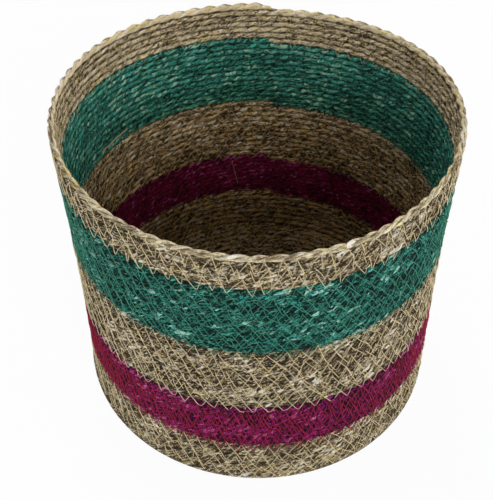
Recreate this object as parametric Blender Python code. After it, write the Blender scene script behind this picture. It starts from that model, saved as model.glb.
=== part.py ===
"""A round basket of grass cord, sewn together row by row.

The base is one flat spiral of cord. The wall is a helix of cord that climbs clockwise, seen
from above, in five bands of colour, and the cord's end leaves a step of one row in the rim.
Where one band stands on the next, a zigzag of sewing thread laps over the joint.
Metres, +Z up, with the origin at the middle of the underside.
"""
import bpy
import bmesh
import numpy as np

# Size of the basket
WALL_HEIGHT = 0.1943
RIM_RADIUS = 0.125
WAIST_RADIUS = 0.1192
FOOT_RADIUS = 0.117
RIM_SADDLE = 0.0035
FOOT_OVAL_SHARE = -0.05
RIM_OVAL_SHARE = 0.016
JOIN_AZIMUTH = np.radians(85)

# Cords
NATURAL_CORD = 0.0039
MAGENTA_CORD = 0.00275
ROW_CLEARANCE = 0.00055
END_CLEARANCE = 0.0003
FLAT_SHARE = 0.1

# Base
BASE_CLEARANCE = 0.001
BASE_EYE_RADIUS = 0.003
BASE_EDGE_INSET = 0.002
COARSE_RADIUS = 0.040

# Sewing thread
THREAD_WIDTH = 0.0006
THREAD_HEIGHT = 0.0005
THREAD_SEAT = 0.0003
STITCH_LAP = 0.0035
STITCH_REACH = 0.0115
STITCH_LEGS_PER_SIDE = 11

# Facets of one turn, and samples of each facet in the measure of a coil's own gap
SIDES = 16
SAMPLES_PER_SIDE = 6

# Cutter, weld and print
CUTTER_OVERRUN = 0.01
WELD_DISTANCE = 0.00003
MILLIMETRES = 1000

# Name, cord and material of each band, from the foot up
BANDS = (
    ("lower_wall_cord", NATURAL_CORD, "natural_cord"),
    ("magenta_wall_cord", MAGENTA_CORD, "magenta_cord"),
    ("middle_wall_cord", NATURAL_CORD, "natural_cord"),
    ("teal_wall_cord", NATURAL_CORD, "teal_cord"),
    ("rim_cord", NATURAL_CORD, "natural_cord"),
)

# Shares of the wall's height that the bands take
BAND_HEIGHT_SHARES = (0.161, 0.171, 0.253, 0.277, 0.138)

# Name, band that it sews to the row below and material of each thread
THREADS = (
    ("magenta_thread", "magenta_wall_cord", "magenta_thread"),
    ("middle_thread", "middle_wall_cord", "natural_thread"),
    ("teal_thread", "teal_wall_cord", "teal_thread"),
    ("rim_thread", "rim_cord", "natural_thread"),
)

# Colour, roughness and metallic value of each material
FINISHES = {
    "natural_cord": ((0.32, 0.25, 0.15), 0.75, 0.0),
    "teal_cord": ((0.010, 0.145, 0.110), 0.65, 0.0),
    "magenta_cord": ((0.230, 0.004, 0.095), 0.65, 0.0),
    "natural_thread": ((0.62, 0.52, 0.32), 0.55, 0.0),
    "teal_thread": ((0.015, 0.210, 0.140), 0.55, 0.0),
    "magenta_thread": ((0.330, 0.008, 0.065), 0.55, 0.0),
}


# Heights of the rows

def band_turns(band):
    """Whole number of turns of a band's cord that comes nearest to the band's height."""
    _, cord, _ = BANDS[band]
    return round(WALL_HEIGHT * BAND_HEIGHT_SHARES[band] / (cord + ROW_CLEARANCE))


def band_start(band):
    """Number of turns of wall below a band."""
    return sum(band_turns(below) for below in range(band))


def turn_rises():
    """Height that each turn climbs: the pitch of the thicker of its own row and the row below."""
    cords = [cord for _, cord, _ in BANDS]
    turns = [band_turns(band) for band in range(len(BANDS))]
    pitches = np.repeat(cords, turns) + ROW_CLEARANCE
    below = np.append(pitches[0], pitches[:-1])
    return np.maximum(pitches, below)


def row_bottom(turn):
    """Height of the underside of the cord after a number of turns of the wall."""
    heights = np.concatenate(([0.0], np.cumsum(turn_rises())))
    return np.interp(turn, np.arange(len(heights)), heights) - flat_depth()


def flat_depth():
    """Depth of the flat that the foot is cut to."""
    return FLAT_SHARE * NATURAL_CORD


def wall_height():
    """Height of the wall at the end of the cord."""
    return float(np.sum(turn_rises()))


# Plan of the wall

def wall_radius(height):
    """Outside radius of the wall, on a parabola through the foot, waist and rim radii."""
    share = height / wall_height()
    foot = FOOT_RADIUS * (1 - share) * (1 - 2 * share)
    waist = WAIST_RADIUS * 4 * share * (1 - share)
    rim = RIM_RADIUS * share * (2 * share - 1)
    return foot + waist + rim


def corner(turn, radius, height, oval_share):
    """Point at a corner of the many-sided plan, slightly oval and with a saddle in its rows."""
    azimuth = JOIN_AZIMUTH - turn * 2 * np.pi
    share = height / wall_height()
    spread = radius * (1 + oval_share * np.cos(2 * azimuth))
    lift = height + RIM_SADDLE * share * np.cos(2 * azimuth)
    return np.stack([spread * np.cos(azimuth), spread * np.sin(azimuth), lift], axis=-1)


def corners_between(first, last):
    """Turns at the corners between two turns, which both lie at the middle of a side."""
    return (np.arange(first * SIDES, last * SIDES) + 1 / 2) / SIDES


def wall_corner(turn, height, inset):
    """Corner of the wall at a height, set in from the wall's outside."""
    share = height / wall_height()
    oval_share = FOOT_OVAL_SHARE + (RIM_OVAL_SHARE - FOOT_OVAL_SHARE) * share
    return corner(turn, wall_radius(height) - inset, height, oval_share)


def on_wall(turn, height, inset):
    """Point on the straight side between the two corners that a turn lies between."""
    before = (np.floor(turn * SIDES - 1 / 2) + 1 / 2) / SIDES
    along = ((turn - before) * SIDES)[:, None]
    start = wall_corner(before, height, inset)
    end = wall_corner(before + 1 / SIDES, height, inset)
    return start * (1 - along) + end * along


# Routes of the cords

def base_edge_radius():
    """Radius of the middle of the base's last loop."""
    return FOOT_RADIUS - NATURAL_CORD / 2 - BASE_EDGE_INSET


def base_loops():
    """Whole loops of cord that fit between the eye and the edge of the base."""
    return int((base_edge_radius() - BASE_EYE_RADIUS) / (NATURAL_CORD + BASE_CLEARANCE))


def base_pitch():
    """Distance between the loops of the base."""
    return (base_edge_radius() - BASE_EYE_RADIUS) / base_loops()


def base_radius(turn):
    """Radius of the middle of the cord in the flat spiral."""
    return BASE_EYE_RADIUS + base_pitch() * turn


def base_corner(turn):
    """Corner of the flat spiral, which turns oval towards its edge."""
    oval_share = FOOT_OVAL_SHARE * base_radius(turn) / base_edge_radius()
    height = NATURAL_CORD / 2 - flat_depth() + np.zeros_like(turn)
    return corner(turn, base_radius(turn), height, oval_share)


def base_route():
    """Turns and points of the base's spiral, with every second corner near its middle."""
    turns = corners_between(0, base_loops() + 1 / SIDES)
    numbers = np.arange(len(turns))
    turns = turns[(numbers % 2 == 0) | (base_radius(turns) > COARSE_RADIUS)]
    points = base_corner(turns)
    turns[-1] = base_loops()
    points[-1] = drawn_back((points[-1] + points[-2]) / 2, points[-2])
    return turns, points


def drawn_back(end, before):
    """End point of a cord, drawn back by half of the clearance between two ends."""
    length = np.linalg.norm(end - before)
    return end + (before - end) * END_CLEARANCE / 2 / length


def first_turn_shift(turn):
    """Outward shift of the wall's first turn, which rolls over the last loop of the base."""
    rise = np.clip(turn, 0, 1)
    roll = base_pitch() * (np.sqrt(1 - rise ** 2) - (1 - rise))
    return roll - BASE_EDGE_INSET * (1 - rise)


def wall_route(band):
    """Turns and points of one band of the wall, whose ends lie at the middle of a side."""
    _, cord, _ = BANDS[band]
    first = band_start(band)
    last = first + band_turns(band)
    turns = corners_between(first - 1 / SIDES, last + 1 / SIDES)
    height = row_bottom(turns) + cord / 2
    points = wall_corner(turns, height, cord / 2 - first_turn_shift(turns))
    turns[[0, -1]] = first, last
    points[0] = drawn_back((points[0] + points[1]) / 2, points[1])
    points[-1] = drawn_back((points[-1] + points[-2]) / 2, points[-2])
    return turns, points


def thread_route(band):
    """Zigzag over the first turn of a band, from the row below up over its own first rows."""
    legs = SIDES * STITCH_LEGS_PER_SIDE
    leg = np.arange(legs)
    turns = band_start(band) + (leg + 1 / 2) / legs
    swing = np.where(leg % 2 == 0, -STITCH_LAP, STITCH_REACH)
    swing[[0, -1]] = swing[[1, -2]]
    return on_wall(turns, row_bottom(turns) + swing, -THREAD_SEAT)


def least_gap(turns, points, cord):
    """Least gap of a coil to itself, from samples of its sides to the sides of other loops."""
    along = np.arange(SAMPLES_PER_SIDE) / SAMPLES_PER_SIDE
    sides = points[1:] - points[:-1]
    samples = (points[:-1, None] + sides[:, None] * along[:, None]).reshape(-1, 3)
    sample_turns = (turns[:-1, None] + np.diff(turns)[:, None] * along).ravel()
    side_turns = (turns[:-1] + turns[1:]) / 2
    least = np.inf
    for start, side, turn in zip(points[:-1], sides, side_turns):
        others = samples[np.abs(sample_turns - turn) > 1 / 2]
        reach = np.clip((others - start) @ side / (side @ side), 0, 1)
        distances = np.linalg.norm(others - start - reach[:, None] * side, axis=1)
        least = min(least, distances.min())
    return least - cord


# Objects

def make_collection(name):
    collection = bpy.data.collections.new(name)
    bpy.context.scene.collection.children.link(collection)
    return collection


def make_material(name):
    colour, roughness, metallic = FINISHES[name]
    material = bpy.data.materials.new(name)
    material.use_nodes = True
    material.diffuse_color = (*colour, 1)
    shader = material.node_tree.nodes["Principled BSDF"]
    shader.inputs["Base Color"].default_value = (*colour, 1)
    shader.inputs["Roughness"].default_value = roughness
    shader.inputs["Metallic"].default_value = metallic
    return material


def make_polyline(name, points, closed):
    """Curve object with straight runs between its points."""
    curve = bpy.data.curves.new(name, "CURVE")
    curve.dimensions = "3D"
    curve.twist_mode = "Z_UP"
    spline = curve.splines.new("POLY")
    spline.points.add(len(points) - 1)
    for point, place in zip(spline.points, points):
        point.co = (*place, 1)
    spline.use_cyclic_u = closed
    return bpy.data.objects.new(name, curve)


def make_cord(name, points, cord, collection):
    """Four-sided tube along a route, with its edges up, down, in and out."""
    tube = make_polyline(name, points, False)
    tube.data.bevel_depth = cord / 2
    tube.data.bevel_resolution = 0
    tube.data.use_fill_caps = True
    collection.objects.link(tube)
    return tube


def make_thread_profile(guides):
    """Three-cornered section of a stitch: flat on the cord, tall enough for its steep legs."""
    leg_run = 2 * np.pi * WAIST_RADIUS / SIDES / STITCH_LEGS_PER_SIDE
    steepness = np.hypot(STITCH_LAP + STITCH_REACH, leg_run) / leg_run
    half_height = THREAD_WIDTH / 2 * steepness
    corners = ((0, half_height, 0), (0, -half_height, 0), (-THREAD_HEIGHT, 0, 0))
    profile = make_polyline("thread_profile", corners, True)
    profile.hide_render = True
    profile.display_type = "WIRE"
    guides.objects.link(profile)
    return profile


def make_thread(name, points, profile, collection):
    thread = make_polyline(name, points, False)
    thread.data.bevel_mode = "OBJECT"
    thread.data.bevel_object = profile
    thread.data.use_fill_caps = True
    collection.objects.link(thread)
    return thread


def make_mesh_of(tube, collection):
    """The tube as a mesh object of the same name, with its caps welded on."""
    name = tube.name
    evaluated = tube.evaluated_get(bpy.context.evaluated_depsgraph_get())
    mesh = bpy.data.meshes.new_from_object(evaluated)
    shape = bmesh.new()
    shape.from_mesh(mesh)
    bmesh.ops.remove_doubles(shape, verts=shape.verts, dist=WELD_DISTANCE)
    shape.to_mesh(mesh)
    shape.free()
    placement = tube.matrix_world.copy()
    bpy.data.objects.remove(tube)
    solid = bpy.data.objects.new(name, mesh)
    solid.matrix_world = placement
    collection.objects.link(solid)
    return solid


def make_floor_cutter(cutters):
    """Block below the height that the foot stands on."""
    side = 2 * (RIM_RADIUS + CUTTER_OVERRUN)
    shape = bmesh.new()
    bmesh.ops.create_cube(shape, size=side)
    bmesh.ops.translate(shape, verts=shape.verts, vec=(0, 0, -side / 2))
    mesh = bpy.data.meshes.new("floor_cutter")
    shape.to_mesh(mesh)
    shape.free()
    cutter = bpy.data.objects.new("floor_cutter", mesh)
    cutter.hide_render = True
    cutter.display_type = "WIRE"
    cutters.objects.link(cutter)
    return cutter


def cut_flat(solid, cutter):
    cut = solid.modifiers.new("flat_foot", "BOOLEAN")
    cut.operation = "DIFFERENCE"
    cut.object = cutter


def report_gap(name, turns, points, cord):
    gap = least_gap(turns, points, cord)
    loops = turns[-1] - turns[0]
    print(f"{name}: {loops:.0f} loops, least gap to itself {gap * MILLIMETRES:.2f} mm")


def build_base(parts, cutter):
    turns, points = base_route()
    report_gap("base_coil", turns, points, NATURAL_CORD)
    tube = make_cord("base_coil", points, NATURAL_CORD, parts)
    base = make_mesh_of(tube, parts)
    base.data.materials.append(bpy.data.materials["natural_cord"])
    cut_flat(base, cutter)


def build_wall(parts, cutter):
    for band, (name, cord, finish) in enumerate(BANDS):
        turns, points = wall_route(band)
        report_gap(name, turns, points, cord)
        tube = make_cord(name, points, cord, parts)
        if band == 0:
            tube = make_mesh_of(tube, parts)
            cut_flat(tube, cutter)
        tube.data.materials.append(bpy.data.materials[finish])


def build_threads(parts, guides):
    profile = make_thread_profile(guides)
    bands = [name for name, _, _ in BANDS]
    for name, sewn_band, finish in THREADS:
        route = thread_route(bands.index(sewn_band))
        thread = make_thread(name, route, profile, parts)
        thread.data.materials.append(bpy.data.materials[finish])


def main():
    for thing in list(bpy.data.objects):
        bpy.data.objects.remove(thing)
    parts = make_collection("grass_basket")
    helpers = make_collection("cutters_and_guides")
    for name in FINISHES:
        make_material(name)
    cutter = make_floor_cutter(helpers)
    build_base(parts, cutter)
    build_wall(parts, cutter)
    build_threads(parts, helpers)


main()
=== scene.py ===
"""Looks of a round basket of sewn grass cord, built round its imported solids.

Every row of the basket is a rope of two twisted strands, wound on the helix or spiral of the
solids. A zigzag of thread sews the rows together, and shows outside and inside the wall.
"""

from typing import NamedTuple

import bpy
import numpy as np
from bpy.props import FloatProperty, FloatVectorProperty, IntProperty, PointerProperty
from mathutils import Euler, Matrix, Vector


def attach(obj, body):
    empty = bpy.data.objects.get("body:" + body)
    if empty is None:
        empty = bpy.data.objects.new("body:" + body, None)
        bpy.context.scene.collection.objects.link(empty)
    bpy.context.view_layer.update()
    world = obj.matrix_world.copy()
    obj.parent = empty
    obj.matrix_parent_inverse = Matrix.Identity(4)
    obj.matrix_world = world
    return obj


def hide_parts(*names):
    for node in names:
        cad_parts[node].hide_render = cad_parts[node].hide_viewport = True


bl_info = {
    "name": "Grass Basket",
    "version": (1, 0, 0),
    "blender": (4, 5, 0),
    "location": "View3D > Sidebar > Basket",
    "description": "Builds the ropes, the sewing and the studio of a grass basket",
    "category": "Add Mesh",
}

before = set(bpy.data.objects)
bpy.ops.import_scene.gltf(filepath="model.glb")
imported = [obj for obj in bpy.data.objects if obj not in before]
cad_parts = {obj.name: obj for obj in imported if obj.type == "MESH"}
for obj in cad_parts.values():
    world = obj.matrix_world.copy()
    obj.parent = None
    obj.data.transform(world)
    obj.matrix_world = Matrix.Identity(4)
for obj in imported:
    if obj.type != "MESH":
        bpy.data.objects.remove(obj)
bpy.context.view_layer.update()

PHOTO_LONG_SIDE = 500


class Sewing(NamedTuple):
    """A band's seam: the node that it stands for, its finish, its rounds, its stitches in each
    round, their reach above the row that they sew, and how many steps ahead a stitch rises."""

    piece: str
    nodes: tuple
    slot: str
    rounds: int
    stitches: float
    reach: float
    rise_steps: int


class Band(NamedTuple):
    """One band of colour: its rope, the node that the rope stands for, its rows, its cord, its
    finish, the length in which its strands turn once, how pale its grass is beside the other
    bands' of its colour, and its seam."""

    rope: str
    node: str
    turns: int
    cord: str
    slot: str
    lay: float
    pale: float
    seam: Sewing


BANDS = (
    Band("lower_rope", "lower_wall_cord", 7, "natural_cord", "natural_cord", 0.0216, 0.17,
         Sewing("lower_seam", (), "natural_thread", 3, 85.4, 0.0115, 1)),
    Band("magenta_rope", "magenta_wall_cord", 10, "magenta_cord", "magenta_cord", 0.0135, 0.0,
         Sewing("magenta_seam", ("magenta_thread",), "magenta_thread", 6, 165.0, 0.0072, 1)),
    Band("middle_rope", "middle_wall_cord", 11, "natural_cord", "natural_cord", 0.0216, -0.13,
         Sewing("middle_seam", ("middle_thread",), "natural_thread", 5, 84.6, 0.0115, 1)),
    Band("teal_rope", "teal_wall_cord", 12, "natural_cord", "teal_cord", 0.0216, 0.0,
         Sewing("teal_seam", ("teal_thread",), "teal_thread", 7, 84.0, 0.0105, 1)),
    Band("rim_rope", "rim_cord", 6, "natural_cord", "natural_cord", 0.0212, 0.05,
         Sewing("rim_seam", ("rim_thread",), "natural_thread", 3, 77.4, 0.0090, 0)),
)


class StrayEnd(NamedTuple):
    """A long end that lies on the inside: its finish, the azimuth in degrees and the height of
    its two ends, how far it sags between them, its thickness and its tone."""

    piece: str
    slot: str
    start: tuple
    end: tuple
    sag: float
    width: float
    tone: float


STRAY_ENDS = (
    StrayEnd("stray_thread", "natural_thread", (98.5, 0.066), (96.5, 0.043), 0.0, 0.00026, 0.2),
    StrayEnd("stray_straw", "natural_thread", (152, 0.123), (138, 0.125), 0.001, 0.0010, -0.3),
    StrayEnd("stray_green_thread", "teal_thread", (40, 0.1135), (8, 0.1165), 0.0012, 0.00035, 0.8),
)


class Lamp(NamedTuple):
    """A square soft lamp: where it stands, the length of its side, and its power in watts."""

    name: str
    place: tuple
    size: float
    power: float


LAMPS = (
    Lamp("front_softbox", (1.2, -3.8, 1.85), 2.4, 102),
    Lamp("right_softbox", (4.0, -1.0, 1.4), 2.0, 29),
    Lamp("left_softbox", (-4.0, -1.2, 1.6), 2.0, 20),
    Lamp("back_softbox", (-0.8, 3.0, 3.0), 2.0, 60),
)
LAMP_TARGET = (0, 0, 0.1)
WHITE = (1.0, 1.0, 1.0, 1.0)
FLOOR_GREY = (0.86, 0.86, 0.86, 1.0)

# Seeds of the random draws. Each band adds its own number to its rope's and its seam's.
BASE_ROPE_SEED = 10
WALL_ROPE_SEED = 20
BASE_SEAM_SEED = 39
WALL_SEAM_SEED = 40
FIBRE_SEED = 60
STRAY_SEED = 70

# Section of a rope, as a share of its cord or of its row, so that ropes lean on each other
ROPE_DEPTH = 1.06
ROW_FILL = 1.15
# Thickness of the rim's end, as a share, and the part of a turn in which its last one starts
RIM_TIP = 0.35
LAST_TURN_START = 0.02

# Where a stitch bends, as shares of its length, and the tone of each kind of stitch: rising
# outside, rising inside, falling outside and falling inside. The tones outside are painted
# light and shade: the rising stitches are painted lit, and the falling ones shaded.
STITCH_BENDS = np.array((0, 0.12, 0.5, 0.88, 1))
STITCH_SIDES = 5
LEG_LIGHT_TONES = (0.6, -0.1, 0.2, -0.1)

# How far a seam's holes stray along it, in steps, and the steps between random values
HOLE_WANDER = 0.6
WANDER_SPACING = 8
# Distance in metres of the high holes from the next band, and the lowest that a hole may be
BAND_MARGIN = 0.0003
LOWEST_HOLE = 0.0027

# The stray ends' mesh, and their depth in the wall as a share of the cord
STRAY_POINTS = 24
STRAY_SIDES = 6
STRAY_DEPTH = 1.12


# Sizes and colours

def metres(name, description, default):
    return FloatProperty(name=name, description=description, default=default, unit="LENGTH")


def radians(name, description, default):
    return FloatProperty(name=name, description=description, default=default, subtype="ANGLE")


def plain(name, description, default):
    return FloatProperty(name=name, description=description, default=default)


class BasketShape(bpy.types.PropertyGroup):
    rim_radius: metres("Rim radius", "Outside radius at the rim", 0.125)
    waist_radius: metres("Waist radius", "Outside radius at half height", 0.1192)
    foot_radius: metres("Foot radius", "Outside radius at the foot", 0.117)
    rim_saddle: metres(
        "Rim saddle", "Rise of the rim at its sides and dip at front and back", 0.0035)
    foot_oval: plain("Foot oval", "Share by which the foot is wider from side to side", -0.05)
    rim_oval: plain("Rim oval", "Share by which the rim is wider from side to side", 0.016)
    join_azimuth: radians("Join", "Direction in which the cords start and end", np.radians(85))
    base_pitch: metres("Base pitch", "Distance between the loops of the base", 0.0044)
    base_edge_inset: metres(
        "Base inset", "Distance of the base's edge from the outside of the wall", 0.002)
    base_eye_radius: metres("Base eye", "Radius of the first loop's middle", 0.0012)


class BasketCord(bpy.types.PropertyGroup):
    natural_cord: metres("Grass cord", "Thickness of the natural and the teal cord", 0.0039)
    magenta_cord: metres("Magenta cord", "Thickness of the finer magenta cord", 0.00275)
    row_clearance: metres(
        "Row clearance", "Gap between the rows of the solids, which rope fills", 0.00055)
    flat_share: plain("Flat foot", "Share of the cord that the foot is cut flat by", 0.1)
    ring_step: metres("Ring step", "Distance between the rings of a rope's mesh", 0.00152)
    rim_ring_share: plain(
        "Rim ring step", "Distance between the rings of the rim's rope, as a share of the ring "
        "step", 0.78)
    sides: IntProperty(name="Sides", description="Points in a rope's section", default=16)
    strand_offset: plain(
        "Strand offset", "Distance of a strand's middle from the rope's, as a share of the rope's "
        "radius", 0.36)
    rim_split: plain("Rim split", "What the rim's last turn adds to the strand offset", 0.11)
    rim_grain: plain("Rim grain", "How much coarser the blades of the rim's last turn are", 1.7)
    rim_taper: metres("Rim taper", "Length over which the rim's end gets thinner", 0.011)
    corner: metres(
        "Corner", "By how much the base's last loop and the wall's first turn lean on each "
        "other", 0.0008)
    run_on: metres(
        "Run on", "Length by which a rope's ends run into the ropes beside them", 0.0025)
    touch: plain("Touch", "Share of the groove that is filled where two rows touch", 1.0)
    inner_fill: plain("Inner fill", "Share of the groove that is filled inside the basket", 0.2)
    lump: plain("Lump", "Unevenness of the blades of grass, as a share of the radius", 0.08)
    blade_turn: plain(
        "Blade turn", "Turn of the blades of grass, as a share of the strands'", 0.65)


class BasketSewing(bpy.types.PropertyGroup):
    width: metres("Thread", "Thickness of the thread outside", 0.0004)
    inside_width: metres("Inside thread", "Thickness of the thread inside", 0.00028)
    lap: metres("Lap", "How far a stitch reaches below the row that it starts in", 0.0038)
    rim_margin: metres("Rim margin", "Distance of the upper stitches from the rim's top", 0.0024)
    rising_stand: metres("Rising stand", "How far a rising stitch stands off the wall", 0.00022)
    falling_stand: metres(
        "Falling stand", "How far a falling stitch stands off the wall, less than a rising one "
        "because it sinks between the strands", -0.00036)
    uneven_stand: metres("Uneven stand", "Unevenness of how far the stitches stand off", 0.00018)
    dig: metres("Dig", "How deep the ends of a stitch go into the rope", 0.0007)
    uneven_step: plain(
        "Uneven step", "Unevenness of the holes along the seam, as a share of their "
        "distance", 0.15)
    uneven_height: metres("Uneven height", "Unevenness of the height of the holes", 0.0006)


class BasketFibres(bpy.types.PropertyGroup):
    count: IntProperty(name="Fibres", description="Number of short loose fibres", default=260)
    width: metres("Thickness", "Thickness of a loose fibre at its root", 0.0004)
    length: metres("Length", "Mean length of a loose fibre", 0.0045)
    lift: metres("Lift", "How far the tip of a loose fibre stands off at most", 0.001)


class BasketStage(bpy.types.PropertyGroup):
    elevation: radians("Elevation", "Height of the camera above the horizon", np.radians(42.83))
    distance: metres("Distance", "Distance of the camera from its target", 1.1029)
    focal_pixels: plain("Focal length", "Focal length in pixels of the photograph", 1693.6)
    roll: radians("Roll", "Turn of the camera about its own axis", np.radians(-0.525))
    target: FloatVectorProperty(
        name="Target", description="Point that the camera looks at",
        default=(-0.0075, 0.0, 0.0852), subtype="TRANSLATION")


# A grass has five tones, the tint of its patches, its pale blades, whose near-white is partly a
# painted highlight, and the painted shade of the hollows between its strands, and a thread has
# two tones.
GRASS_PARTS = ("darkest", "dark", "middle", "light", "lightest", "tint", "fleck", "hollow")
THREAD_PARTS = ("dark", "light")
COLOURS = {
    "natural_grass": dict(zip(GRASS_PARTS, (
        (0.024, 0.016, 0.009), (0.100, 0.073, 0.039), (0.194, 0.149, 0.085),
        (0.340, 0.270, 0.160), (0.85, 0.75, 0.52), (0.56, 0.51, 0.26),
        (0.95, 0.90, 0.79), (0.012, 0.008, 0.003)))),
    "teal_grass": dict(zip(GRASS_PARTS, (
        (0.002, 0.006, 0.005), (0.003, 0.028, 0.022), (0.0055, 0.067, 0.048),
        (0.015, 0.150, 0.106), (0.10, 0.50, 0.40), (0.30, 0.50, 0.62),
        (0.40, 0.78, 0.64), (0.001, 0.005, 0.003)))),
    "magenta_grass": dict(zip(GRASS_PARTS, (
        (0.006, 0.0005, 0.004), (0.030, 0.0008, 0.015), (0.072, 0.0014, 0.032),
        (0.158, 0.003, 0.074), (0.46, 0.025, 0.26), (0.36, 0.30, 0.76),
        (0.72, 0.10, 0.44), (0.006, 0.001, 0.003)))),
    "straw_thread": dict(zip(THREAD_PARTS, ((0.34, 0.26, 0.14), (0.88, 0.73, 0.45)))),
    "green_thread": dict(zip(THREAD_PARTS, ((0.008, 0.075, 0.048), (0.070, 0.34, 0.23)))),
    "crimson_thread": dict(zip(THREAD_PARTS, ((0.075, 0.002, 0.012), (0.40, 0.011, 0.060)))),
}


class BasketColours(bpy.types.PropertyGroup):
    """One colour for each part of each finish, whose default the table gives."""

    __annotations__ = {
        f"{finish}_{part}": FloatVectorProperty(
            name=f"{finish.replace('_', ' ').capitalize()}, {part}",
            description=f"Colour of the {finish.replace('_', ' ')}: {part}",
            default=default, min=0.0, max=1.0, subtype="COLOR")
        for finish, parts in COLOURS.items() for part, default in parts.items()}


GROUPS = {
    "basket_shape": BasketShape,
    "basket_cord": BasketCord,
    "basket_sewing": BasketSewing,
    "basket_fibres": BasketFibres,
    "basket_stage": BasketStage,
    "basket_colours": BasketColours,
}


# Shape of the wall

class Wall:
    """The basket's own formulas: height of a row, radius at a height, and points on the wall."""

    def __init__(self, scene):
        self.shape = scene.basket_shape
        self.cord = scene.basket_cord
        pitches = np.repeat([self.cord_of(band) for band in BANDS],
                            [band.turns for band in BANDS]) + self.cord.row_clearance
        below = np.append(pitches[0], pitches[:-1])
        rises = np.maximum(pitches, below)
        self.height = float(rises.sum())
        self.levels = np.concatenate(([0.0], np.cumsum(rises), [self.height + pitches[-1]]))

    def cord_of(self, band):
        """Thickness of a band's cord."""
        return getattr(self.cord, band.cord)

    def first_turn(self, band):
        """Turns of the wall below a band."""
        return sum(below.turns for below in BANDS[:BANDS.index(band)])

    def row_bottom(self, turn):
        """Height of a row's underside: the rises of the turns below it, added up."""
        level = np.interp(turn, np.arange(len(self.levels)), self.levels)
        return level - self.cord.flat_share * self.cord.natural_cord

    def thickness(self, band, turn, height):
        """Thickness of the wall at a height in a band, or in the row that the band stands on."""
        below = BANDS[max(BANDS.index(band) - 1, 0)]
        on_band = height > self.row_bottom(self.first_turn(band) + turn % 1)
        return np.where(on_band, self.cord_of(band), self.cord_of(below))

    def band_top(self, band, turn):
        """Height at which a band ends, at the azimuth of a turn."""
        return self.row_bottom(self.first_turn(band) + band.turns + turn % 1)

    def radius(self, height):
        """Outside radius: a parabola through the radii of the foot, the waist and the rim."""
        share = height / self.height
        foot = self.shape.foot_radius * (1 - share) * (1 - 2 * share)
        waist = self.shape.waist_radius * 4 * share * (1 - share)
        rim = self.shape.rim_radius * share * (2 * share - 1)
        return foot + waist + rim

    def place(self, turn, radius, height, oval):
        """Point at an azimuth that falls by a full circle each turn. The radius grows by the
        oval's share times the cosine of twice the azimuth, and the height by the saddle."""
        azimuth = self.shape.join_azimuth - 2 * np.pi * turn
        share = height / self.height
        spread = radius * (1 + oval * np.cos(2 * azimuth))
        lift = height + self.shape.rim_saddle * share * np.cos(2 * azimuth)
        return np.stack([spread * np.cos(azimuth), spread * np.sin(azimuth), lift], axis=-1)

    def point(self, turn, height, inset):
        """Point of the wall at a turn and a height, set in from the outside."""
        share = height / self.height
        oval = self.shape.foot_oval + (self.shape.rim_oval - self.shape.foot_oval) * share
        return self.place(turn, self.radius(height) - inset, height, oval)

    def outward(self, turn):
        """Level unit vector away from the axis: the cosine and the sine of the azimuth."""
        azimuth = self.shape.join_azimuth - 2 * np.pi * turn
        return np.stack([np.cos(azimuth), np.sin(azimuth), np.zeros_like(azimuth)], axis=-1)

    def first_turn_shift(self, turn):
        """Outward shift of the first turn, which rolls over the base's last loop on a
        quarter circle."""
        rise = np.clip(turn, 0, 1)
        roll = self.shape.base_pitch * (np.sqrt(1 - rise ** 2) - (1 - rise))
        return roll - self.shape.base_edge_inset * (1 - rise)

    def base_edge(self):
        """Radius of the base's last loop: the foot's, less half a cord and the inset."""
        return self.shape.foot_radius - self.cord.natural_cord / 2 - self.shape.base_edge_inset

    def base_turns(self):
        """Turns of the base: the way from the eye to the edge, divided by the pitch."""
        return (self.base_edge() - self.shape.base_eye_radius) / self.shape.base_pitch

    def even_base_turns(self, count, turns):
        """Turns of the base, counted back from its edge, at even steps along the spiral:
        the squares of their radii grow evenly."""
        innermost = self.base_edge() - self.shape.base_pitch * turns
        radius = np.sqrt(np.linspace(innermost ** 2, self.base_edge() ** 2, count))
        return (radius - self.base_edge()) / self.shape.base_pitch

    def base_point(self, turn, height, outset=0.0):
        """Point of the base's spiral, whose radius shrinks by a pitch each turn inwards and
        whose oval fades towards the eye."""
        radius = self.base_edge() + self.shape.base_pitch * turn + outset
        oval = self.shape.foot_oval * radius / self.base_edge()
        return self.place(turn, radius, height + np.zeros_like(turn), oval)


def drift(rng, count, spacing, columns=1):
    """Smooth random values from -1 to 1: one is drawn at every spacing, and the values
    between are eased from one to the next."""
    drawn = rng.uniform(-1, 1, (int(count / spacing) + 2, columns))
    place = np.arange(count) / spacing
    before = place.astype(int)
    share = (place - before)[:, None]
    ease = share ** 2 * (3 - 2 * share)
    return drawn[before] * (1 - ease) + drawn[before + 1] * ease


def unit(vectors):
    """Vectors divided by their lengths."""
    return vectors / np.linalg.norm(vectors, axis=-1, keepdims=True)


# Rings between the random values that turn a rope, swell its blades and swell all of it
TWIST_SPACING = 30
BLADE_SPACING = 4
LUMP_SPACING = 18
# How far a rope's twist strays, in radians, and the radius of its flat ends, as a share
TWIST_WANDER = 0.8
CAP_RADIUS = 0.2


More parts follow.
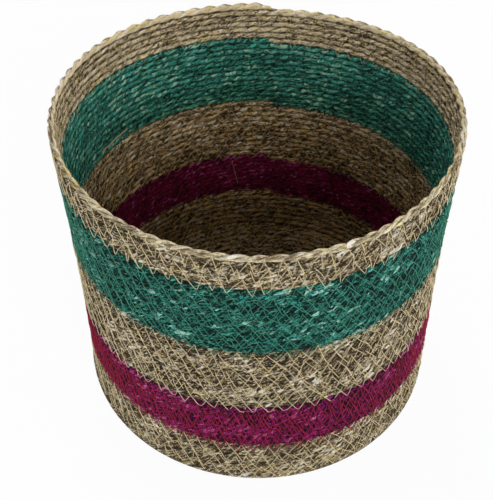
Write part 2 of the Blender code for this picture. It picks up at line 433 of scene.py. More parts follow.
def twisted_rope(path, half_out, half_up, on_wall, lay, cord, rng, closed=0.0, last=0.0):
    """Rope of two twisted strands along a path.

    The section is the outline of two circles side by side: offset times the cosine, plus the
    root of the strand's radius squared less the offset's sine squared. It turns once each lay,
    left-handed. Where rows touch, at the sides that a power of the sine or cosine picks out,
    the groove between the strands is filled; it is filled all round by the closed share. Each
    column of points swells and shrinks along the rope as one blade of grass, but keeps its
    size where rows touch. The last turn is split more deeply, and its blades are coarser.
    Both ends are rounded. The looks say where a point lies in the grass, how much painted
    shade it gets in the hollows between strands or rows, whether it is inside the basket, and
    whether its row is pale, which on the rim's last turn is partly painted light from above.
    """
    rings = len(path)
    closed = np.zeros((rings, 1)) + np.reshape(closed, (-1, 1))
    last = np.zeros((rings, 1)) + np.reshape(last, (-1, 1))
    half_out, half_up = np.reshape(half_out, (-1, 1)), np.reshape(half_up, (-1, 1))
    tangent = unit(np.gradient(path, axis=0))
    out = unit(np.cross([0.0, 0.0, 1.0], tangent))
    up = np.cross(tangent, out)
    arc = np.concatenate(([0.0], np.cumsum(np.linalg.norm(np.diff(path, axis=0), axis=1))))
    theta = np.pi / 2 + 2 * np.pi * np.arange(cord.sides) / cord.sides
    twist = -2 * np.pi * arc / lay + TWIST_WANDER * drift(rng, rings, TWIST_SPACING)[:, 0]
    angle = theta + twist[:, None]
    offset = cord.strand_offset + cord.rim_split * last
    strand = 1 - offset
    side = np.cos(theta)
    lobes = offset * np.abs(side) + np.sqrt(strand ** 2 - offset ** 2 * (1 - side ** 2))
    if on_wall:
        contact = np.sin(angle) ** 2
        hidden_side = np.clip(-np.cos(angle), 0, 1)
        contact = contact * (1 - last * (np.sin(angle) > 0))
    else:
        contact = np.cos(angle) ** 2
        hidden_side = np.zeros_like(angle)
    filled = np.maximum(cord.touch * contact ** 4, cord.inner_fill * np.sqrt(hidden_side))
    filled = np.maximum(filled, closed)
    radius = 1 - (1 - lobes) * (1 - filled)
    groove = (1 - lobes) / (1 - lobes.min()) * (1 - filled)
    inside = np.clip(-4 * np.cos(angle), 0, 1) if on_wall else np.clip(4 * np.sin(angle), 0, 1)
    # Painted shade: dark lines where rows touch, strongest inside the basket, and in the grooves
    # between the strands; the rim's last turn has no line on top
    between = 0.35 * contact ** 3 * (1 - inside) + 1.6 * contact * inside
    hollow = np.clip(groove * (1 - 0.6 * inside) + between * (1 - last), 0, 1)
    free = (1 - contact ** 3) * (1 - closed)
    radius *= 1 + free * cord.lump * drift(rng, rings, BLADE_SPACING, cord.sides)
    radius *= 1 + free * 0.8 * cord.lump * drift(rng, rings, LUMP_SPACING)
    from_end = np.minimum(arc, arc[-1] - arc)[:, None] / np.mean(half_up)
    rounding = 1 - (1 - 3 * np.minimum(from_end, 1 / 3)) ** 2
    radius *= np.sqrt(np.clip(rounding, CAP_RADIUS ** 2, 1))
    across = (radius * np.cos(angle) * half_out)[..., None] * out[:, None]
    along_up = (radius * np.sin(angle) * half_up)[..., None] * up[:, None]
    points = path[:, None] + across + along_up
    points[..., 2] = np.maximum(points[..., 2], 0)
    blade = theta + (1 - cord.blade_turn) * twist[:, None]
    grain = 1 + (cord.rim_grain - 1) * last
    along = np.cumsum(np.gradient(arc)[:, None] / grain, axis=0)
    fibre = np.stack(np.broadcast_arrays(
        along, half_out * np.cos(blade) / grain, half_out * np.sin(blade) / grain), axis=-1)
    return points, {"fibre": fibre[None], "hollow": hollow[None], "inside": inside[None],
                    "pale": last + 0 * hollow[None]}


def tubes(paths, normals, width, sides):
    """Round tubes, one along each path: the points of a circle in the plane of the path's
    normal and of the cross product of its direction with that normal."""
    along = unit(np.gradient(paths, axis=1))
    across = unit(np.cross(along, normals))
    outward = np.cross(across, along)
    angle = 2 * np.pi * np.arange(sides) / sides
    circle = np.cos(angle)[:, None], np.sin(angle)[:, None]
    ring = across[:, :, None] * circle[0] + outward[:, :, None] * circle[1]
    return paths[:, :, None] + ring * width / 2


# Meshes

def grid_faces(tubes_count, rings, sides):
    """Corners of the quads round every tube, and of the caps at its two ends."""
    numbers = np.arange(tubes_count * rings * sides).reshape(tubes_count, rings, sides)
    after = np.roll(numbers, -1, axis=2)
    quads = np.stack([numbers[:, :-1], after[:, :-1], after[:, 1:], numbers[:, 1:]], axis=-1)
    caps = np.concatenate([numbers[:, 0, ::-1], numbers[:, -1]])
    return quads.reshape(-1, 4), caps


def add_piece(name, points, slot, nodes=(), **attributes):
    """Mesh object made of tubes, from an array of tubes, rings, sides and coordinates. The
    attributes are values for its points, which its finish reads."""
    quads, caps = grid_faces(*points.shape[:3])
    corners = np.concatenate([quads.ravel(), caps.ravel()])
    starts = np.concatenate([
        4 * np.arange(len(quads)), quads.size + caps.shape[1] * np.arange(len(caps))])
    mesh = bpy.data.meshes.new(name)
    mesh.vertices.add(points.size // 3)
    mesh.vertices.foreach_set("co", points.astype(np.float32).ravel())
    mesh.loops.add(len(corners))
    mesh.loops.foreach_set("vertex_index", corners.astype(np.int32))
    mesh.polygons.add(len(starts))
    mesh.polygons.foreach_set("loop_start", starts.astype(np.int32))
    mesh.polygons.foreach_set("use_smooth", np.ones(len(starts), bool))
    mesh.update(calc_edges=True)
    for key, values in attributes.items():
        vector = values.shape[-1] == 3 and values.size == points.size
        attribute = mesh.attributes.new(key, "FLOAT_VECTOR" if vector else "FLOAT", "POINT")
        values = values.astype(np.float32).ravel()
        attribute.data.foreach_set("vector" if vector else "value", values)
    mesh.materials.append(finish_for(slot))
    piece = bpy.data.objects.new(name, mesh)
    bpy.context.scene.collection.objects.link(piece)
    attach(piece, "root")
    if nodes:
        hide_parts(*nodes)


# Finishes

class Sock:
    """An output socket that works in sums, each of which adds a Math node."""

    def __init__(self, tree, socket):
        self.tree = tree
        self.socket = socket

    def math(self, operation, *values):
        return self.tree.node("ShaderNodeMath", {"operation": operation}, dict(enumerate(values)))

    def __add__(self, other):
        return self.math("ADD", self, other)

    def __sub__(self, other):
        return self.math("SUBTRACT", self, other)

    def __rsub__(self, other):
        return self.math("SUBTRACT", other, self)

    def __mul__(self, other):
        return self.math("MULTIPLY", self, other)

    __radd__ = __add__
    __rmul__ = __mul__


class Tree:
    """A node tree, with one method that adds any node."""

    def __init__(self, node_tree):
        self.nodes = node_tree.nodes
        self.links = node_tree.links

    def node(self, kind, settings=(), values=(), output=0):
        node = self.nodes.new(kind)
        for key, value in dict(settings).items():
            if key == "stops":
                self.set_stops(node.color_ramp, value)
            else:
                setattr(node, key, value)
        for key, value in dict(values).items():
            self.connect(value, node.inputs[key])
        return Sock(self, node.outputs[output])

    def set_stops(self, ramp, stops):
        while len(ramp.elements) < len(stops):
            ramp.elements.new(1)
        for element, (position, colour) in zip(ramp.elements, stops):
            element.position = position
            element.color = (*colour, 1)

    def connect(self, value, socket):
        if isinstance(value, Sock):
            self.links.new(value.socket, socket)
        else:
            socket.default_value = value

    def seen(self):
        """1 for what the camera sees, straight or in a mirror or through glass, and else 0."""
        kinds = ("Is Camera Ray", "Is Glossy Ray", "Is Transmission Ray")
        camera, glossy, through = (
            self.node("ShaderNodeLightPath", (), (), kind) for kind in kinds)
        return camera + glossy + through


class Finish(Tree):
    """A material's node tree round its shader."""

    def __init__(self, name):
        self.material = bpy.data.materials.new(name)
        self.material.use_nodes = True
        super().__init__(self.material.node_tree)
        self.shader = self.nodes["Principled BSDF"]

    def set(self, name, value):
        self.connect(value, self.shader.inputs[name])

    def stretched(self, vector, sizes):
        """A vector measured in grains of the given sizes, in metres."""
        scale = tuple(1 / size for size in sizes)
        return self.node("ShaderNodeVectorMath", {"operation": "MULTIPLY"}, {0: vector, 1: scale})

    def shifted(self, vector, noise, reach):
        """A vector moved by a colour of noise, whose middle grey moves it by nothing."""
        middle = self.node(
            "ShaderNodeVectorMath", {"operation": "SUBTRACT"}, {0: noise, 1: (0.5, 0.5, 0.5)})
        return self.node("ShaderNodeVectorMath", {"operation": "MULTIPLY_ADD"},
                         {0: middle, 1: reach, 2: vector})

    def noise(self, vector, sizes, detail, output="Fac"):
        grains = self.stretched(vector, sizes)
        values = {"Vector": grains, "Scale": 1.0, "Detail": detail}
        return self.node("ShaderNodeTexNoise", (), values, output)

    def cells(self, vector, sizes, feature, output):
        grains = self.stretched(vector, sizes)
        values = {"Vector": grains, "Scale": 1.0}
        return self.node("ShaderNodeTexVoronoi", {"feature": feature}, values, output)

    def channel(self, colour, number):
        return self.node("ShaderNodeSeparateColor", (), {0: colour}, number)

    def ramp(self, factor, stops):
        return self.node("ShaderNodeValToRGB", {"stops": stops}, {"Fac": factor}, "Color")

    def rise(self, value, low, high):
        """0 below the low value, 1 above the high one, and a smooth rise between."""
        settings = {"interpolation_type": "SMOOTHSTEP"}
        values = {"Value": value, "From Min": low, "From Max": high}
        return self.node("ShaderNodeMapRange", settings, values)

    def blend(self, factor, first, second, mode="MIX"):
        settings = {"data_type": "RGBA", "blend_type": mode}
        return self.node("ShaderNodeMix", settings, {0: factor, 6: first, 7: second}, 2)

    def bump(self, height, strength, distance):
        values = {"Strength": strength, "Distance": distance, "Height": height}
        return self.node("ShaderNodeBump", (), values)

    def greatest(self, first, second):
        return self.node("ShaderNodeMath", {"operation": "MAXIMUM"}, {0: first, 1: second})

    def attribute(self, name, output):
        return self.node("ShaderNodeAttribute", {"attribute_name": name}, (), output)

    def own(self, colours, part):
        """One of the finish's own colours, with full alpha."""
        return (*getattr(colours, f"{self.material.name}_{part}"), 1.0)


# The finish of each slot of the record
FINISHES = {
    "natural_cord": "natural_grass",
    "teal_cord": "teal_grass",
    "magenta_cord": "magenta_grass",
    "natural_thread": "straw_thread",
    "teal_thread": "green_thread",
    "magenta_thread": "crimson_thread",
}

# Place of each of a grass's colours on the ramp of tones
TONE_PLACES = {"darkest": 0.26, "dark": 0.41, "middle": 0.52, "light": 0.64, "lightest": 0.82}

# Grains that follow the rope: their size in metres along a blade and, twice, across it
WAVE_GRAIN = (0.004, 0.003, 0.003)
WAVE_REACH = (0.0, 0.0026, 0.0026)
BLADE_GRAIN = (0.0050, 0.00095, 0.00095)
BROAD_GRAIN = (0.0048, 0.0015, 0.0015)
BEAD_GRAIN = (0.0027, 0.0012, 0.0012)
STREAK_GRAIN = (0.006, 0.00024, 0.00024)

# Grains that don't follow the rope: their size in metres along each axis
PATCH_GRAIN = (0.03, 0.03, 0.012)
TINT_GRAIN = (0.009, 0.009, 0.005)
SPECK_GRAIN = (0.0009, 0.0009, 0.0007)
THREAD_GRAIN = (0.0006, 0.0006, 0.0004)

# Heights in metres between which the inside gets more painted light, gets less of its painted
# warm shade, and gets more of its pale blades and painted highlights
LIT_INSIDE_HEIGHTS = (0.06, 0.19)
INSIDE_SHADE_HEIGHTS = (0.08, 0.15)
FLOOR_HEIGHTS = (0.015, 0.035)
# What the colours of the inside and of its pale blades are multiplied by: painted warm shade
INSIDE_SHADE_WARMTH = (1.0, 0.71, 0.43, 1.0)
FLECK_SHADE_WARMTH = (1.0, 0.84, 0.60, 1.0)
# Height in metres of the grains that only the shading shows
GRASS_RELIEF = 0.0011
THREAD_RELIEF = 0.0001


def cord_finish(name, colours):
    """Dry twisted grass: wavy blades that each have a tone of their own, fine streaks along
    them, tinted patches, a few pale shiny blades that are partly painted highlights, and
    painted shade in the hollows between the strands and the rows. Pale rows are smoother and
    paler, and on the rim's last turn that paleness is partly painted light from above. The
    inside has painted warm shade, most of all low down, painted light that grows towards the
    rim, and more pale blades and painted highlights than the outside, except at the floor."""
    finish = Finish(name)
    fibre = finish.attribute("fibre", "Vector")
    hollow = finish.attribute("hollow", "Fac")
    pale = finish.attribute("pale", "Fac")
    inside = finish.attribute("inside", "Fac")
    place = finish.node("ShaderNodeTexCoord", (), (), "Object")
    height_up = finish.node("ShaderNodeSeparateXYZ", (), {0: place}, 2)
    wave = finish.noise(fibre, WAVE_GRAIN, 0.0, "Color")
    fibre = finish.shifted(fibre, wave, WAVE_REACH)
    lot = finish.channel(finish.cells(fibre, BLADE_GRAIN, "F1", "Color"), 0)
    middle = finish.cells(fibre, BLADE_GRAIN, "DISTANCE_TO_EDGE", "Distance")
    middle = finish.rise(middle, 0.0, 0.16)
    broad = finish.cells(fibre, BROAD_GRAIN, "F1", "Color")
    bead_glints = finish.channel(finish.cells(fibre, BEAD_GRAIN, "F1", "Color"), 0)
    streaks = finish.noise(fibre, STREAK_GRAIN, 1.0)
    patches = finish.noise(place, PATCH_GRAIN, 1.0)
    specks = finish.noise(place, SPECK_GRAIN, 1.0)

    # Painted shade in the hollows between strands and rows, broken up by specks and streaks, and
    # stronger on pale rows and inside the basket
    gap_shade = hollow + (specks - 0.5) * 1.1 + (streaks - 0.5) * 0.5 + pale * 0.12
    dark = finish.rise(gap_shade + inside * 0.11, 0.76, 1.19)
    # Pale blades and beads on the strands: partly pale grass, partly painted highlights and glints
    # on the lobes, with more of them inside the basket
    shine = finish.channel(broad, 1) + inside * 0.025 + (patches - 0.5) * 0.3
    bead_glints = bead_glints + inside * 0.05 + (patches - 0.5) * 0.3
    glint_flecks = finish.greatest(
        finish.rise(shine, 0.965, 0.985), finish.rise(bead_glints, 0.985, 1.005))
    # Fewer painted highlights where painted shade lies, and inside near the floor
    at_floor = inside * (1 - finish.rise(height_up, *FLOOR_HEIGHTS))
    glint_flecks = glint_flecks * (1 - dark) * (1 - at_floor * 0.55)

    rough = (lot - 0.5) * 0.55 + (streaks - 0.5) * 0.95 + (specks - 0.5) * 1.05 + middle * 0.18
    rough = rough * (inside * 0.35 + 1 - pale * 0.6)
    bright = finish.rise(finish.channel(broad, 0), 0.90, 0.94)
    # Painted light inside the basket: its grass is paler, and more so towards the rim
    lit_inside = inside * (finish.rise(height_up, *LIT_INSIDE_HEIGHTS) * 0.15 + 0.10)
    # Pale rows are paler; on the rim's last turn this is partly paler grass, partly painted light
    # from above
    tone = (patches - 0.5) * 0.5 + rough + pale * 0.31 + bright * 0.2 + lit_inside + 0.327
    stops = [(stop, finish.own(colours, part)[:3]) for part, stop in TONE_PLACES.items()]
    tinted = finish.rise(finish.noise(place, TINT_GRAIN, 1.0), 0.5, 0.72)
    shade = finish.blend(
        tinted * 0.6, finish.ramp(tone, stops), finish.own(colours, "tint"), "OVERLAY")
    # Painted warm shade inside the basket, strongest low down and less towards the rim
    deep = inside * (1 - finish.rise(height_up, *INSIDE_SHADE_HEIGHTS) * 0.75)
    shade = finish.blend(deep, shade, INSIDE_SHADE_WARMTH, "MULTIPLY")
    # Painted warm shade on the pale blades inside, too
    warm_shaded_fleck = finish.blend(inside * 0.5, finish.own(colours, "fleck"), FLECK_SHADE_WARMTH, "MULTIPLY")
    shade = finish.blend(glint_flecks * 0.85, shade, warm_shaded_fleck)
    # Painted shade: the dark colour of the hollows laid over the grass
    shade = finish.blend(dark * 0.9, shade, finish.own(colours, "hollow"))

    finish.set("Base Color", shade)
    finish.set("Roughness", 0.85 - glint_flecks * 0.35)
    finish.set("Coat Weight", glint_flecks * 0.9)
    finish.set("Coat Roughness", 0.3)
    finish.set("Specular IOR Level", 0.18)
    relief = middle * 0.5 + lot * 0.4 + streaks * 0.5 + specks * 0.5
    finish.set("Normal", finish.bump(relief, 0.9, GRASS_RELIEF))


def thread_finish(name, colours):
    """Sewing thread whose tone changes from stitch to stitch, with a fine twist."""
    finish = Finish(name)
    tone = finish.attribute("tone", "Fac")
    place = finish.node("ShaderNodeTexCoord", (), (), "Object")
    grain = finish.noise(place, THREAD_GRAIN, 1.0)
    dark, light = finish.own(colours, "dark"), finish.own(colours, "light")
    finish.set("Base Color", finish.blend(tone * 0.6 + grain * 0.5, dark, light))
    finish.set("Roughness", 0.6 + grain * 0.2)
    finish.set("Specular IOR Level", 0.25)
    finish.set("Normal", finish.bump(grain, 0.4, THREAD_RELIEF))


def finish_for(slot):
    """The finish of a slot, made when the first piece asks for it."""
    name = FINISHES[slot]
    if name not in bpy.data.materials:
        make = cord_finish if slot.endswith("_cord") else thread_finish
        make(name, bpy.context.scene.basket_colours)
    return bpy.data.materials[name]


# Ropes

def base_rope(wall):
    """Flat spiral from the eye to the edge, with touching loops as wide as the distance
    between them. Its straight start closes the eye, and its end runs on into the wall."""
    length = np.pi * wall.base_edge() * wall.base_turns()
    run_on = wall.cord.run_on / (2 * np.pi * wall.base_edge())
    turn = wall.even_base_turns(int(length / wall.cord.ring_step), wall.base_turns()) + run_on
    turn = np.append(turn[0], turn)
    height = wall.cord.natural_cord / 2 - wall.cord.flat_share * wall.cord.natural_cord
    corner = wall.cord.corner * np.clip((turn + 1) * 4, 0, 1)
    path = wall.base_point(turn, height, corner)
    next_loop = wall.base_point(turn, height, corner + wall.shape.base_pitch)
    path[0] -= unit(path[2] - path[1]) * wall.cord.run_on
    rng = np.random.default_rng(BASE_ROPE_SEED)
    half_out = np.linalg.norm(next_loop - path, axis=1) / 2 * ROW_FILL + corner
    points, looks = twisted_rope(
        path, half_out, wall.cord.natural_cord / 2, False, BANDS[0].lay, wall.cord, rng,
        closed=np.clip((turn + 1.15) * 8, 0, 1))
    add_piece("base_rope", points[None], "natural_cord", ("base_coil",), **looks)


def wall_rope(wall, band):
    """Helix of one band, whose rows each reach up to the row above. Its ends run into the
    ropes beside them. The wall's first turn leans on the base, and the rim's last one is
    paler, partly paler grass and partly painted light from above, and ends in a taper that
    lies on the row below."""
    number = BANDS.index(band)
    at_rim = band is BANDS[-1]
    first = wall.first_turn(band)
    length = 2 * np.pi * wall.shape.waist_radius * band.turns
    run_on = wall.cord.run_on / (2 * np.pi * wall.shape.waist_radius)
    start = first - run_on
    end = first + band.turns + run_on * (not at_rim)
    step = wall.cord.ring_step * (wall.cord.rim_ring_share if at_rim else 1.0)
    turn = np.linspace(start, end, int(length / step))
    bottom, top = wall.row_bottom(turn), wall.row_bottom(turn + 1)
    on_base = np.clip((1.3 - turn) * 4, 0, 1)
    corner = wall.cord.corner * np.clip(turn * 8, 0, 1) * on_base
    half_out = wall.cord_of(band) / 2 * ROPE_DEPTH + corner
    to_end = (len(wall.levels) - 2 - turn) * 2 * np.pi * wall.shape.rim_radius
    thin = RIM_TIP + (1 - RIM_TIP) * np.clip(to_end / wall.cord.rim_taper, 0, 1) ** 0.7
    path = wall.point(turn, bottom + (top - bottom) / 2 * thin,
                      half_out - wall.first_turn_shift(turn))
    rng = np.random.default_rng(WALL_ROPE_SEED + number)
    # The rim's last turn is marked pale: partly paler grass, partly painted light from above
    last = np.clip((turn - first - band.turns + 1) / LAST_TURN_START, 0, 1) * at_rim
    points, looks = twisted_rope(
        path, half_out * thin, (top - bottom) / 2 * ROW_FILL * thin, True, band.lay, wall.cord,
        rng, closed=on_base, last=last)
    looks["fibre"][..., 0] += number * 10  # no band has another's grain
    looks["pale"] += band.pale
    add_piece(band.rope, points[None], band.slot, (band.node,), **looks)


# Sewing

def seam_holes(wall, sewing, band, rng):
    """Turns and heights of the low and of the high holes of a band's seam.

    The seam goes round the band several times, at even steps up from its first row until the
    high holes meet its top. In each round the holes follow the row: the low ones a lap below
    its foot, and the high ones a reach above it.
    """
    first, seam = wall.first_turn(band), band.seam
    pitch = wall.cord_of(band) + wall.cord.row_clearance
    margin = sewing.rim_margin if band is BANDS[-1] else BAND_MARGIN
    climb = (band.turns - (seam.reach + margin) / pitch) / (seam.rounds - 1)
    count = int(seam.rounds * seam.stitches)
    wander = HOLE_WANDER * drift(rng, count, WANDER_SPACING)[:, 0]
    lean = 0.0 if seam.rise_steps else 0.5
    turns, heights = [], []
    for shift, above in ((0.0, -sewing.lap), (lean, seam.reach)):
        step = np.arange(count) + shift + wander + rng.normal(0, sewing.uneven_step, count)
        turn = np.clip(step / seam.stitches, 0, seam.rounds - 1e-6)
        level = first + climb * np.floor(turn) + turn % 1
        height = np.minimum(wall.row_bottom(level) + above, wall.band_top(band, turn) - margin)
        turns.append(first + turn)
        heights.append(height + rng.normal(0, sewing.uneven_height, count))
    return turns, np.maximum(heights, LOWEST_HOLE)


def stitch_paths(wall, band, start, end, depths, inside, rng):
    """Paths of the stitches between two holes each, given as rows of turns and heights: a
    straight line and a small random bow to one side, which is a parabola. The depths count
    from the outside of the wall or, for the stitches inside, from its inside."""
    shares = STITCH_BENDS
    turns = start[0][:, None] * (1 - shares) + end[0][:, None] * shares
    heights = start[1][:, None] * (1 - shares) + end[1][:, None] * shares
    bow = rng.normal(0, 0.1, (len(turns), 1)) * (end[0] - start[0])[:, None]
    turns = turns + bow * 4 * shares * (1 - shares)
    on_foot = np.clip(1 - heights / wall.levels[1], 0, 1) * (turns < 1)
    depths = depths - wall.first_turn_shift(turns) * on_foot
    if inside:
        depths = depths + wall.thickness(band, turns, heights)
    return wall.point(turns, heights, depths), wall.outward(turns)


def band_seam(wall, sewing, band):
    """The stitches of one band, as they show outside and inside the wall.

    A rising stitch goes from a low hole to the high hole some steps on, and a falling one from
    a high hole to the next low hole, so that the seam is one zigzag or two that cross.
    """
    rng = np.random.default_rng(WALL_SEAM_SEED + BANDS.index(band))
    turns, heights = seam_holes(wall, sewing, band, rng)
    low, high = np.array([turns[0], heights[0]]), np.array([turns[1], heights[1]])
    steps = band.seam.rise_steps
    rising = (low[:, :low.shape[1] - steps], high[:, steps:])
    falling = (high[:, :-1], low[:, 1:])
    legs = []
    for (start, end), stand in ((rising, sewing.rising_stand), (falling, sewing.falling_stand)):
        count = start.shape[1]
        stands = stand + sewing.uneven_stand * rng.normal(0, 1, (count, 1))
        ends = np.full((count, 1), sewing.dig)
        depths = np.hstack([ends, -0.6 * stands, -stands, -0.6 * stands, ends])
        paths = stitch_paths(wall, band, start, end, depths, False, rng)
        legs.append(tubes(*paths, sewing.width, STITCH_SIDES))
        depths = np.hstack([-ends, 0.3 * stands, 0.4 * stands, 0.3 * stands, -ends])
        paths = stitch_paths(wall, band, start, end, depths, True, rng)
        legs.append(tubes(*paths, sewing.inside_width, STITCH_SIDES))
    points = np.concatenate(legs)
    # Painted light and shade: the rising stitches outside are lighter than the falling ones
    leg_light = np.repeat(LEG_LIGHT_TONES, [len(leg) for leg in legs])
    tone = np.repeat(rng.uniform(0, 0.6, len(points)) + leg_light, points[0].size // 3)
    add_piece(band.seam.piece, points, band.seam.slot, band.seam.nodes, tone=tone)


def base_seam(wall, sewing):
    """The base's stitches, above and below. Their holes are at even steps along the spiral,
    and swing by turns inwards by the reach and outwards by the lap."""
    rng = np.random.default_rng(BASE_SEAM_SEED)
    seam = BANDS[0].seam
    turns = wall.base_turns() - 1
    step = 2 * np.pi * wall.shape.waist_radius / seam.stitches
    count = int(np.pi * wall.base_edge() * turns / step)
    turn = wall.even_base_turns(count, turns)
    swing = np.where(np.arange(count) % 2 == 0, -seam.reach, sewing.lap)
    swing = 0.8 * swing + rng.normal(0, sewing.uneven_height, count)
    swing = np.maximum(swing, -0.9 * (wall.base_edge() + wall.shape.base_pitch * turn))
    swing = np.minimum(swing, -wall.shape.base_pitch * turn)
    shares = STITCH_BENDS
    along = turn[:-1, None] * (1 - shares) + turn[1:, None] * shares
    across = swing[:-1, None] * (1 - shares) + swing[1:, None] * shares
    top = wall.cord.natural_cord * (1 - wall.cord.flat_share)
    lift = np.array((-sewing.dig, 0.0001, 0.00015, 0.0001, -sewing.dig))
    upper = wall.base_point(along, top + lift, across)
    lower = wall.base_point(along, sewing.inside_width / 2 + np.maximum(-lift, 0), across)
    normals = np.broadcast_to([0.0, 0.0, 1.0], upper.shape)
    points = np.concatenate([
        tubes(paths, normals, sewing.inside_width, STITCH_SIDES) for paths in (upper, lower)])
    tone = np.repeat(rng.uniform(0, 1, len(points)), points[0].size // 3)
    add_piece("base_seam", points, seam.slot, tone=tone)


# Loose fibres

def loose_fibres(wall, fibres):
    """Short blades that stick out of the natural bands, a third of them on the inside.

    Each is a tube that gets thinner along its length. It goes along the wall at a lean, and
    its distance from the wall grows with the square of the share of its length.
    """
    rng = np.random.default_rng(FIBRE_SEED)
    natural = [band for band in BANDS if band.slot == "natural_cord"]
    first = np.array([wall.first_turn(band) for band in natural])
    turns = np.array([band.turns for band in natural])
    pick = rng.integers(0, len(natural), fibres.count)
    turn = first[pick] + 0.5 + rng.uniform(0, 1, fibres.count) * (turns[pick] - 2)
    height = wall.row_bottom(turn) + rng.uniform(0.1, 0.7, fibres.count) * wall.cord.natural_cord
    length = fibres.length * rng.uniform(0.5, 1.7, fibres.count)
    lean = rng.normal(0.3, 0.45, fibres.count)
    inside = rng.uniform(0, 1, fibres.count) < 0.35
    lift = fibres.lift * rng.uniform(0.1, 1, fibres.count)
    share = np.linspace(0, 1, 5)
    around = 2 * np.pi * wall.shape.waist_radius
    turns = turn[:, None] - (length * np.cos(lean) / around)[:, None] * share
    heights = height[:, None] + (length * np.sin(lean))[:, None] * share
    off = lift[:, None] * share ** 2 - 0.0001
    depths = np.where(inside[:, None], ROPE_DEPTH * wall.cord.natural_cord + off, -off)
    paths, outward = wall.point(turns, heights, depths), wall.outward(turns)
    width = fibres.width * (1 - 0.7 * share)[:, None, None]
    points = tubes(paths, outward, width, STITCH_SIDES)
    tone = np.repeat(rng.uniform(0.1, 1, len(points)), points[0].size // 3)
    add_piece("loose_fibres", points, "natural_thread", tone=tone)


def stray_end(wall, stray):
    """A long end that goes evenly from its start to its end and sags by a parabola."""
    share = np.linspace(0, 1, STRAY_POINTS)
    azimuth, height = (start + (end - start) * share for start, end in zip(stray.start, stray.end))
    turns = (wall.shape.join_azimuth - np.radians(azimuth)) / (2 * np.pi)
    rng = np.random.default_rng(STRAY_SEED)
    heights = height - stray.sag * 4 * share * (1 - share)
    heights += 0.0005 * drift(rng, STRAY_POINTS, 4)[:, 0]
    depths = STRAY_DEPTH * wall.cord.natural_cord + 0.0002 * drift(rng, STRAY_POINTS, 5)[:, 0]
    paths, outward = wall.point(turns, heights, depths)[None], wall.outward(turns)[None]
    points = tubes(paths, outward, stray.width, STRAY_SIDES)
    tone = np.full(points.size // 3, stray.tone)
    add_piece(stray.piece, points, stray.slot, tone=tone)


# Stage

def make_floor():
    """Plain pale floor that keeps the basket's shadow and is white where the light is full."""
    bpy.ops.mesh.primitive_plane_add(size=12)
    floor = bpy.context.object
    floor.name = "floor"
    finish = Finish("floor_white")
    finish.set("Base Color", FLOOR_GREY)
    finish.set("Roughness", 0.9)
    glow = finish.node("ShaderNodeEmission", (), {"Color": WHITE, "Strength": 1.0})
    diffuse = Sock(finish, finish.shader.outputs[0])
    mixed = finish.node("ShaderNodeMixShader", (), {0: finish.seen() * 0.95, 1: diffuse, 2: glow})
    finish.connect(mixed, finish.nodes["Material Output"].inputs["Surface"])
    floor.data.materials.append(finish.material)


def make_world():
    """Pale room light, which the camera sees as white."""
    world = bpy.data.worlds.new("studio")
    bpy.context.scene.world = world
    world.use_nodes = True
    tree = Tree(world.node_tree)
    background = tree.nodes["Background"]
    tree.connect(WHITE, background.inputs["Color"])
    tree.connect(tree.seen() * 0.57 + 0.43, background.inputs["Strength"])


def add_lamp(lamp):
    """Puts a lamp in its place, turned to the basket."""
    light = bpy.data.lights.new(lamp.name, "AREA")
    light.size = lamp.size
    light.energy = lamp.power
    softbox = bpy.data.objects.new(lamp.name, light)
    softbox.location = lamp.place
    facing = Vector(LAMP_TARGET) - Vector(lamp.place)
    softbox.rotation_euler = facing.to_track_quat("-Z", "Y").to_euler()
    bpy.context.scene.collection.objects.link(softbox)


def add_camera(stage):
    """Camera in front of the basket, raised by the elevation on an arc round its target."""
    data = bpy.data.cameras.new("camera")
    data.lens = stage.focal_pixels * data.sensor_width / PHOTO_LONG_SIDE
    camera = bpy.data.objects.new("camera", data)
    back = Vector((0, -np.cos(stage.elevation), np.sin(stage.elevation)))
    camera.location = Vector(stage.target) + back * stage.distance
    turned = (-back).to_track_quat("-Z", "Y") @ Euler((0, 0, stage.roll)).to_quaternion()
    camera.rotation_euler = turned.to_euler()
    bpy.context.scene.collection.objects.link(camera)
    bpy.context.scene.camera = camera


# Operators

class BASKET_OT_base_rope(bpy.types.Operator):
    """Wind the flat spiral of the base"""

    bl_idname = "basket.base_rope"
    bl_label = "Base Rope"

    def execute(self, context):
        base_rope(Wall(context.scene))
        return {"FINISHED"}


class BASKET_OT_wall_ropes(bpy.types.Operator):
    """Wind the rope of each band of the wall"""

    bl_idname = "basket.wall_ropes"
    bl_label = "Wall Ropes"

    def execute(self, context):
        for band in BANDS:
            wall_rope(Wall(context.scene), band)
        return {"FINISHED"}


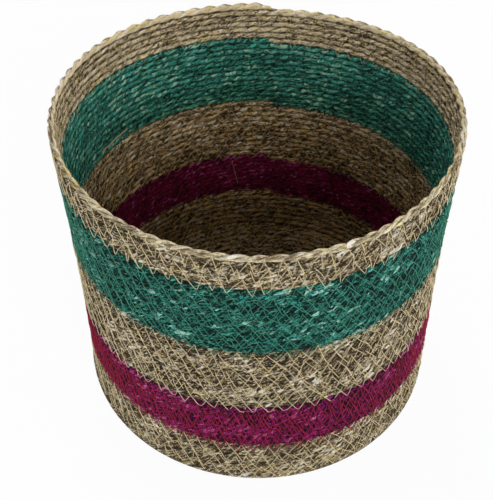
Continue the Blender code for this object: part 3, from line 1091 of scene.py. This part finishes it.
class BASKET_OT_seams(bpy.types.Operator):
    """Sew the rows of the base and the wall together"""

    bl_idname = "basket.seams"
    bl_label = "Seams"

    def execute(self, context):
        wall, sewing = Wall(context.scene), context.scene.basket_sewing
        base_seam(wall, sewing)
        for band in BANDS:
            band_seam(wall, sewing, band)
        return {"FINISHED"}


class BASKET_OT_loose_fibres(bpy.types.Operator):
    """Add the loose blades and the stray ends of thread"""

    bl_idname = "basket.loose_fibres"
    bl_label = "Loose Fibres"

    def execute(self, context):
        wall = Wall(context.scene)
        loose_fibres(wall, context.scene.basket_fibres)
        for stray in STRAY_ENDS:
            stray_end(wall, stray)
        return {"FINISHED"}


class BASKET_OT_stage(bpy.types.Operator):
    """Set up the floor, the soft light and the camera"""

    bl_idname = "basket.stage"
    bl_label = "Stage"

    def execute(self, context):
        make_floor()
        make_world()
        for lamp in LAMPS:
            add_lamp(lamp)
        add_camera(context.scene.basket_stage)
        context.scene.view_settings.view_transform = "Standard"
        return {"FINISHED"}


class BASKET_PT_panel(bpy.types.Panel):
    """Lists the basket's pieces in the sidebar"""

    bl_idname = "BASKET_PT_panel"
    bl_label = "Grass Basket"
    bl_space_type = "VIEW_3D"
    bl_region_type = "UI"
    bl_category = "Basket"

    def draw(self, context):
        for operator in OPERATORS:
            self.layout.operator(operator.bl_idname)


OPERATORS = (
    BASKET_OT_base_rope,
    BASKET_OT_wall_ropes,
    BASKET_OT_seams,
    BASKET_OT_loose_fibres,
    BASKET_OT_stage,
)


def register():
    for group_name, group in GROUPS.items():
        bpy.utils.register_class(group)
        setattr(bpy.types.Scene, group_name, PointerProperty(type=group))
    for item in (*OPERATORS, BASKET_PT_panel):
        bpy.utils.register_class(item)


def unregister():
    for item in (BASKET_PT_panel, *reversed(OPERATORS)):
        bpy.utils.unregister_class(item)
    for group_name, group in GROUPS.items():
        delattr(bpy.types.Scene, group_name)
        bpy.utils.unregister_class(group)


def main():
    register()
    bpy.ops.basket.base_rope()
    bpy.ops.basket.wall_ropes()
    bpy.ops.basket.seams()
    bpy.ops.basket.loose_fibres()
    bpy.ops.basket.stage()


if __name__ == "__main__":
    main()
